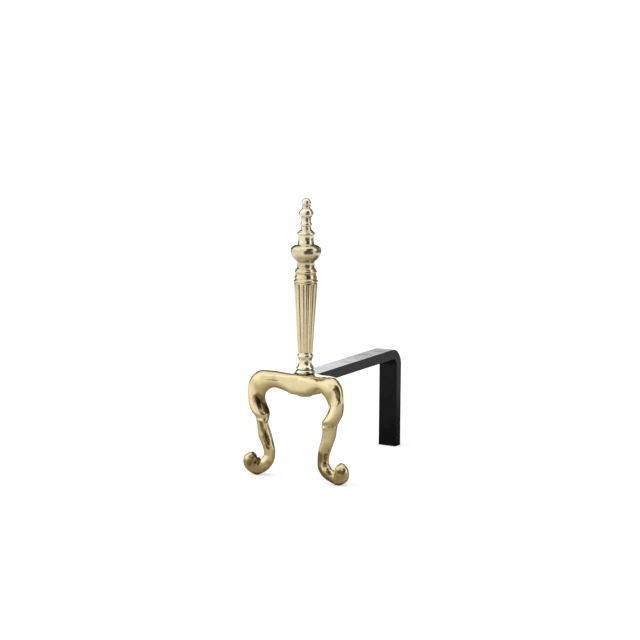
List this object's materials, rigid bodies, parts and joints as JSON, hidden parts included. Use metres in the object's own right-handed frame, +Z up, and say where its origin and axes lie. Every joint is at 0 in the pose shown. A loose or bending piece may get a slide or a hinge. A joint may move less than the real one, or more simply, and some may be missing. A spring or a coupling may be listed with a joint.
{
  "type": "andiron",
  "caption": "Fireside andiron: turned brass column on a cast brass arch with scroll feet, and a flat black log bar that runs back and bends down to stand on the hearth.",
  "frame": {"origin": "on the floor, at the middle of the rectangle that the andiron covers", "axes": "+Z up, +Y from the column along the log bar to its rear end, +X to the right when the andiron is seen from the front"},
  "size_m": [0.1738, 0.3094, 0.4085],
  "materials": {
    "cast_brass": "polished",
    "turned_brass": "polished",
    "bar_black": "satin",
    "steel": "bright"
  },
  "bodies": {
    "root": {"leg_arch": "cast_brass", "log_bar": "bar_black", "column_foot": "turned_brass", "lower_collar": "turned_brass", "fluted_shaft": "turned_brass", "shaft_capital": "turned_brass", "urn": "turned_brass", "upper_collar": "turned_brass", "finial": "turned_brass", "tie_screw": "steel", "cup_washer": "steel"}
  },
  "joints": []
}
